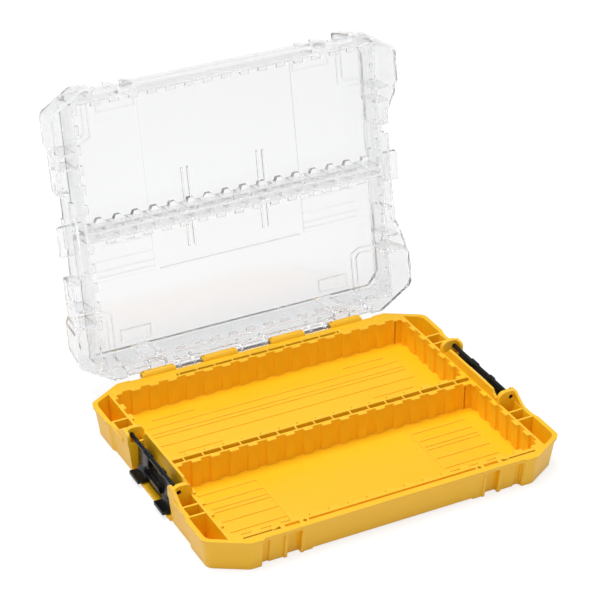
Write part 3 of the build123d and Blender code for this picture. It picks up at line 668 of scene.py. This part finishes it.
@dataclass
class Latch:
    """One hook latch, worked as its bar, windowed plate, grip and hooks.

    Sizes are in mm, on the right side. rows, front and back give the plate's height, outer face
    and inner face from its lower edge up. hook_heights are a hook's bottom, top and root.
    shoulder is the short length over which the bar's radius changes to the stub's.
    """

    side: Side
    pivot: tuple[float, float] = (113.7, 24.7)
    bar_radius: float = 1.4
    bump_radius: float = 2.1
    stub_radius: float = 1.5
    bar_half: float = 31.5
    stub_end: float = 35.7
    stub_taper: float = 0.82
    stub_chamfer: float = 0.3
    bump_slope: float = 1.1
    bumps: tuple[tuple[float, float], ...] = ((-15.5, -9.5), (3.5, 12.5))
    rows: tuple[float, ...] = (2.7, 8.4, 14.6, 19.8, 21.0, 22.0, 24.0)
    front: tuple[float, ...] = (113.1, 113.1, 113.1, 113.1, 113.1, 113.5, 113.7)
    back: tuple[float, ...] = (109.9, 109.9, 109.9, 109.9, 111.6, 111.95, 111.95)
    columns: tuple[float, ...] = (-25.0, -10.3, 10.3, 25.0)
    window: tuple[float, float] = (14.6, 22.0)
    grip_low: Point = (112.4, -10.5, 7.8)
    grip_high: Point = (116.6, 10.5, 13.4)
    grip_undercut: float = 1.9
    hook_span: tuple[float, float] = (11.5, 24.5)
    hook_back: float = 112.4
    hook_root: float = 114.6
    hook_lean: float = 1.4
    hook_tip: float = 119.7
    hook_heights: tuple[float, float, float] = (2.7, 5.5, 9.0)
    dish_margin: float = 1.0
    dish_depth: float = 0.4
    plate_softness: float = 0.35
    grip_softness: float = 0.55
    hook_softness: float = 0.45
    shoulder: float = 0.02

    def bar(self) -> bmesh.types.BMesh:
        """Turn the pivot bar with its bumps and the stubs that sit in the ears."""
        tip = self.stub_radius * self.stub_taper
        stations = [(-self.stub_end, tip), (-self.stub_end + self.stub_chamfer, self.stub_radius),
                    (-self.bar_half - self.shoulder, self.stub_radius),
                    (-self.bar_half, self.bar_radius)]
        for start, end in self.bumps:
            stations += [(start, self.bar_radius), (start + self.bump_slope, self.bump_radius),
                         (end - self.bump_slope, self.bump_radius), (end, self.bar_radius)]
        stations += [(self.bar_half, self.bar_radius),
                     (self.bar_half + self.shoulder, self.stub_radius),
                     (self.stub_end - self.stub_chamfer, self.stub_radius), (self.stub_end, tip)]
        bar = turned_bar(stations)
        pivot_x, pivot_z = self.pivot
        bmesh.ops.translate(bar, vec=(pivot_x * MM, 0.0, pivot_z * MM), verts=bar.verts)
        return bar

    def plate(self) -> bmesh.types.BMesh:
        """Bend and thicken the plate that hangs from the bar, with its window left open."""
        plate = bmesh.new()
        across, along = len(self.columns) - 1, len(self.rows) - 1
        reach = 0.5
        bmesh.ops.create_grid(plate, x_segments=across, y_segments=along, size=reach)
        heights = {}
        for vert in plate.verts:
            row = round((vert.co.y + reach) * along)
            column = round((vert.co.x + reach) * across)
            vert.co = Vector((self.front[row], self.columns[column], self.rows[row])) * MM
            heights[round(vert.co.z / MM, 3)] = row
        half, (sill, head) = self.columns[2] / 2 * MM, self.window
        opening = []
        for face in plate.faces:
            middle = face.calc_center_median()
            if abs(middle.y) < half and sill * MM < middle.z < head * MM:
                opening.append(face)
        bmesh.ops.delete(plate, geom=opening, context="FACES")
        grown = bmesh.ops.extrude_face_region(plate, geom=plate.faces[:])["geom"]
        for vert in (item for item in grown if isinstance(item, bmesh.types.BMVert)):
            vert.co.x = self.back[heights[round(vert.co.z / MM, 3)]] * MM
        bmesh.ops.recalc_face_normals(plate, faces=plate.faces)
        soften(plate, self.plate_softness)
        return plate

    def grip(self) -> bmesh.types.BMesh:
        """Work the finger grip: a soft ledge with a dished top, cut back underneath."""
        grip = brick(self.grip_low, self.grip_high)
        middle = (self.grip_low[2] + self.grip_high[2]) / 2.0 * MM
        under = [vert for vert in grip.verts
                 if vert.co.x > self.pivot[0] * MM and vert.co.z < middle]
        bmesh.ops.translate(grip, vec=(-self.grip_undercut * MM, 0.0, 0.0), verts=under)
        dish(grip, facing(grip, UP), self.dish_margin, self.dish_depth)
        soften(grip, self.grip_softness, steps=3, sharp=30.0)
        return grip

    def hook(self, way: int) -> bmesh.types.BMesh:
        """Work one hook: a foot that juts out under a raised root, with a sunk top.

        Args:
            way: 1 for the hook behind the middle, -1 for the one in front.

        Returns:
            The hook.
        """
        low, top, root = self.hook_heights
        span = sorted(way * value for value in self.hook_span)
        hook = brick((self.hook_back, span[0], low), (self.hook_tip, span[1], top))
        bmesh.ops.bisect_plane(hook, geom=hook.verts[:] + hook.edges[:] + hook.faces[:],
                               plane_co=(self.hook_root * MM, 0.0, 0.0), plane_no=(1.0, 0.0, 0.0))
        tops = facing(hook, UP)
        inner = [face for face in tops if face.calc_center_median().x < self.hook_root * MM]
        outer = [face for face in tops if face not in inner]
        grown = bmesh.ops.extrude_face_region(hook, geom=inner)["geom"]
        raised = [item for item in grown if isinstance(item, bmesh.types.BMVert)]
        bmesh.ops.translate(hook, vec=(0.0, 0.0, (root - top) * MM), verts=raised)
        near_root = (self.hook_back + self.hook_root) / 2 * MM
        for vert in raised:
            if vert.co.x > near_root:
                vert.co.x -= self.hook_lean * MM
        dish(hook, outer, self.dish_margin, self.dish_depth)
        soften(hook, self.hook_softness, steps=3, sharp=40.0)
        return hook

    def build(self, material: bpy.types.Material) -> bpy.types.Object:
        """Make the latch and hang it on its pivot.

        Args:
            material: its plastic.

        Returns:
            The finished latch.
        """
        name = self.side.name.lower()
        shapes = [self.bar(), self.plate(), self.grip(), self.hook(1), self.hook(-1)]
        latch = gather(shapes, f"latch_{name}_worked", flip=self.side is Side.LEFT)
        paint(latch, material)
        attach(latch, f"{name}_latch")
        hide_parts(f"latch_{name}")
        LOG.info("%s latch: bar, plate, grip and two hooks", name)
        return latch


@dataclass
class HingeRod:
    """The steel rod along the back, turned with chamfered ends; sizes in mm."""

    place: tuple[float, float] = (96.35, 21.2)
    radius: float = 1.1
    half: float = 78.5
    chamfer: float = 0.3

    def build(self, material: bpy.types.Material) -> bpy.types.Object:
        """Make the rod and put it in the knuckles.

        Args:
            material: its steel.

        Returns:
            The finished rod.
        """
        tip = self.radius - self.chamfer
        rod = turned_bar([(-self.half, tip), (self.chamfer - self.half, self.radius),
                          (self.half - self.chamfer, self.radius), (self.half, tip)], segments=48)
        across = Matrix.Rotation(math.radians(90.0), 4, "Z")
        place_y, place_z = self.place
        turn = Matrix.Translation((0.0, place_y * MM, place_z * MM)) @ across
        bmesh.ops.transform(rod, matrix=turn, verts=rod.verts)
        thing = gather([rod], "hinge_rod_worked")
        paint(thing, material)
        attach(thing, "tray")
        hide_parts("hinge_pin")
        LOG.info("hinge rod: turned with chamfered ends")
        return thing


@dataclass(frozen=True)
class SoftLamp:
    """One square soft lamp; place and side in metres, power in watts."""

    name: str
    place: Point
    side: float
    power: float

    def hang(self, aim: Vector) -> None:
        """Hang the lamp and point it.

        Args:
            aim: what it points at.
        """
        data = bpy.data.lights.new(self.name, "AREA")
        data.shape = "SQUARE"
        data.size = self.side
        data.energy = self.power
        lamp = bpy.data.objects.new(self.name, data)
        lamp.location = self.place
        lamp.rotation_mode = "QUATERNION"
        lamp.rotation_quaternion = (aim - Vector(self.place)).to_track_quat("-Z", "Y")
        bpy.context.scene.collection.objects.link(lamp)


@dataclass
class Studio:
    """Pale floor, soft light and the camera; lengths in metres, the sensor's width in mm.

    matt and soft are the floor's grey for light and for what shows; glow is its own light, and
    glass_dimming is how much of that a ray through glass misses. horizon, overhead_mirrored and
    overhead_bent are the surround's colours.
    """

    camera_target: Vector = field(default_factory=lambda: Vector((0.02386, 0.07646, 0.060)))
    camera_azimuth: float = -27.52
    camera_elevation: float = 30.07
    camera_distance: float = 1.42291
    camera_roll: float = 0.20
    focal_pixels: float = 2231.73
    image_pixels: float = 600.0
    sensor_width: float = 36.0
    clip: tuple[float, float] = (0.05, 100.0)
    world_light: float = 0.55
    floor_size: float = 12.0
    floor_drop: float = 0.0002
    matt: Colour = (0.80, 0.80, 0.80, 1.0)
    soft: Colour = (0.30, 0.30, 0.30, 1.0)
    glow: float = 0.76
    glass_dimming: float = 0.13
    horizon: Colour = (0.96, 0.96, 0.96, 1.0)
    overhead_mirrored: Colour = (0.12, 0.12, 0.125, 1.0)
    overhead_bent: Colour = (0.82, 0.82, 0.82, 1.0)
    surround_span: tuple[float, float] = (0.05, 0.4)
    lamp_aim: Point = (0.0, 0.02, 0.03)
    lamps: tuple[SoftLamp, ...] = (
        SoftLamp("overhead", (-0.22, 0.12, 1.6), side=1.0, power=23.0),
        SoftLamp("front", (-0.9, -1.5, 0.9), side=1.2, power=1.0),
    )

    def floor(self) -> bpy.types.Object:
        """Lay the plain white floor.

        Returns:
            The floor object.
        """
        mesh = bpy.data.meshes.new("studio_floor")
        shape = bmesh.new()
        bmesh.ops.create_grid(shape, x_segments=1, y_segments=1, size=self.floor_size / 2)
        shape.to_mesh(mesh)
        shape.free()
        floor = bpy.data.objects.new("studio_floor", mesh)
        floor.location.z = -self.floor_drop
        bpy.context.scene.collection.objects.link(floor)
        material = bpy.data.materials.new("studio_floor")
        material.use_nodes = True
        bench = NodeBench(material.node_tree)
        material.node_tree.nodes.clear()
        matt = bench.add("ShaderNodeBsdfDiffuse")
        matt.inputs["Color"].default_value = self.matt
        soft = bench.add("ShaderNodeBsdfDiffuse")
        soft.inputs["Color"].default_value = self.soft
        glow = bench.add("ShaderNodeEmission")
        path = bench.add("ShaderNodeLightPath")
        through_glass = path.outputs["Is Transmission Ray"]
        dimmed = bench.math("MULTIPLY", through_glass, self.glass_dimming)
        bench.link(bench.math("SUBTRACT", self.glow, dimmed), glow.inputs["Strength"])
        both = bench.add("ShaderNodeAddShader")
        bench.link(soft.outputs[0], both.inputs[0])
        bench.link(glow.outputs[0], both.inputs[1])
        mix = bench.add("ShaderNodeMixShader")
        bench.link(self.seen(bench), mix.inputs[0])
        bench.link(matt.outputs[0], mix.inputs[1])
        bench.link(both.outputs[0], mix.inputs[2])
        output = bench.add("ShaderNodeOutputMaterial")
        bench.link(mix.outputs[0], output.inputs["Surface"])
        mesh.materials.append(material)
        return floor

    @staticmethod
    def seen(bench: NodeBench) -> bpy.types.NodeSocket:
        """Mask of rays that show the background: from the camera, mirrored or through glass.

        Args:
            bench: the tree that the nodes go into.

        Returns:
            The mask.
        """
        path = bench.add("ShaderNodeLightPath")
        first = bench.math("MAXIMUM", path.outputs["Is Camera Ray"], path.outputs["Is Glossy Ray"])
        return bench.math("MAXIMUM", first, path.outputs["Is Transmission Ray"])

    def world(self) -> None:
        """Set a white surround that darkens overhead for mirrored and bent rays."""
        world = bpy.data.worlds.new("studio")
        bpy.context.scene.world = world
        world.use_nodes = True
        bench = NodeBench(world.node_tree)
        world.node_tree.nodes.clear()
        light = bench.add("ShaderNodeBackground")
        light.inputs["Color"].default_value = WHITE
        light.inputs["Strength"].default_value = self.world_light
        place = bench.add("ShaderNodeTexCoord")
        parts = bench.add("ShaderNodeSeparateXYZ")
        bench.link(place.outputs["Generated"], parts.inputs[0])
        height = bench.span(parts.outputs["Z"], *self.surround_span, 0.0, 1.0)
        path = bench.add("ShaderNodeLightPath")
        bent = path.outputs["Is Transmission Ray"]
        above = bench.mix_colour(bent, self.overhead_mirrored, self.overhead_bent)
        surround = bench.mix_colour(height, self.horizon, above)
        mirrored = bench.add("ShaderNodeBackground")
        bench.link(surround, mirrored.inputs["Color"])
        white = bench.add("ShaderNodeBackground")
        white.inputs["Color"].default_value = WHITE
        inner = bench.add("ShaderNodeMixShader")
        shows = bench.math("MAXIMUM", path.outputs["Is Glossy Ray"], bent)
        bench.link(shows, inner.inputs[0])
        bench.link(light.outputs[0], inner.inputs[1])
        bench.link(mirrored.outputs[0], inner.inputs[2])
        outer = bench.add("ShaderNodeMixShader")
        bench.link(path.outputs["Is Camera Ray"], outer.inputs[0])
        bench.link(inner.outputs[0], outer.inputs[1])
        bench.link(white.outputs[0], outer.inputs[2])
        output = bench.add("ShaderNodeOutputWorld")
        bench.link(outer.outputs[0], output.inputs["Surface"])

    def light(self) -> None:
        """Hang the soft lamps."""
        for lamp in self.lamps:
            lamp.hang(Vector(self.lamp_aim))

    def camera(self) -> bpy.types.Object:
        """Stand the camera at the photograph's viewing angle.

        Returns:
            The camera object.
        """
        turn, tilt = math.radians(self.camera_azimuth), math.radians(self.camera_elevation)
        reach = math.cos(tilt)
        back = Vector((math.sin(turn) * reach, -math.cos(turn) * reach, math.sin(tilt)))
        right = (-back).cross(UP).normalized()
        up = right.cross(-back)
        roll = math.radians(self.camera_roll)
        right, up = (right * math.cos(roll) + up * math.sin(roll),
                     up * math.cos(roll) - right * math.sin(roll))
        data = bpy.data.cameras.new("camera")
        data.sensor_width = self.sensor_width
        data.lens = self.focal_pixels / self.image_pixels * self.sensor_width
        data.clip_start, data.clip_end = self.clip
        camera = bpy.data.objects.new("camera", data)
        turned = Matrix((right, up, back)).transposed().to_4x4()
        stand = Matrix.Translation(self.camera_target + back * self.camera_distance)
        camera.matrix_world = stand @ turned
        bpy.context.scene.collection.objects.link(camera)
        bpy.context.scene.camera = camera
        return camera

    def build(self) -> None:
        """Set up floor, surround, lamps and camera."""
        self.floor()
        self.world()
        self.light()
        self.camera()
        scene = bpy.context.scene
        scene.view_settings.view_transform = "Standard"
        scene.cycles.max_bounces = ALL_BOUNCES
        scene.cycles.glossy_bounces = GLASS_BOUNCES
        scene.cycles.transmission_bounces = GLASS_BOUNCES
        LOG.info("studio ready")


def main() -> None:
    """Build every piece of the case and the studio round it."""
    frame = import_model()
    effects = Effects()
    studio = Studio()
    studio.build()
    Tray().dress(frame, TRAY_PLASTIC.build(effects))
    Lid().dress(frame, LID_PLASTIC.build(effects))
    black = LATCH_PLASTIC.build(effects)
    for side in Side:
        Latch(side).build(black)
    HingeRod().build(ROD_STEEL.build(effects))


if __name__ == "__main__":
    main()
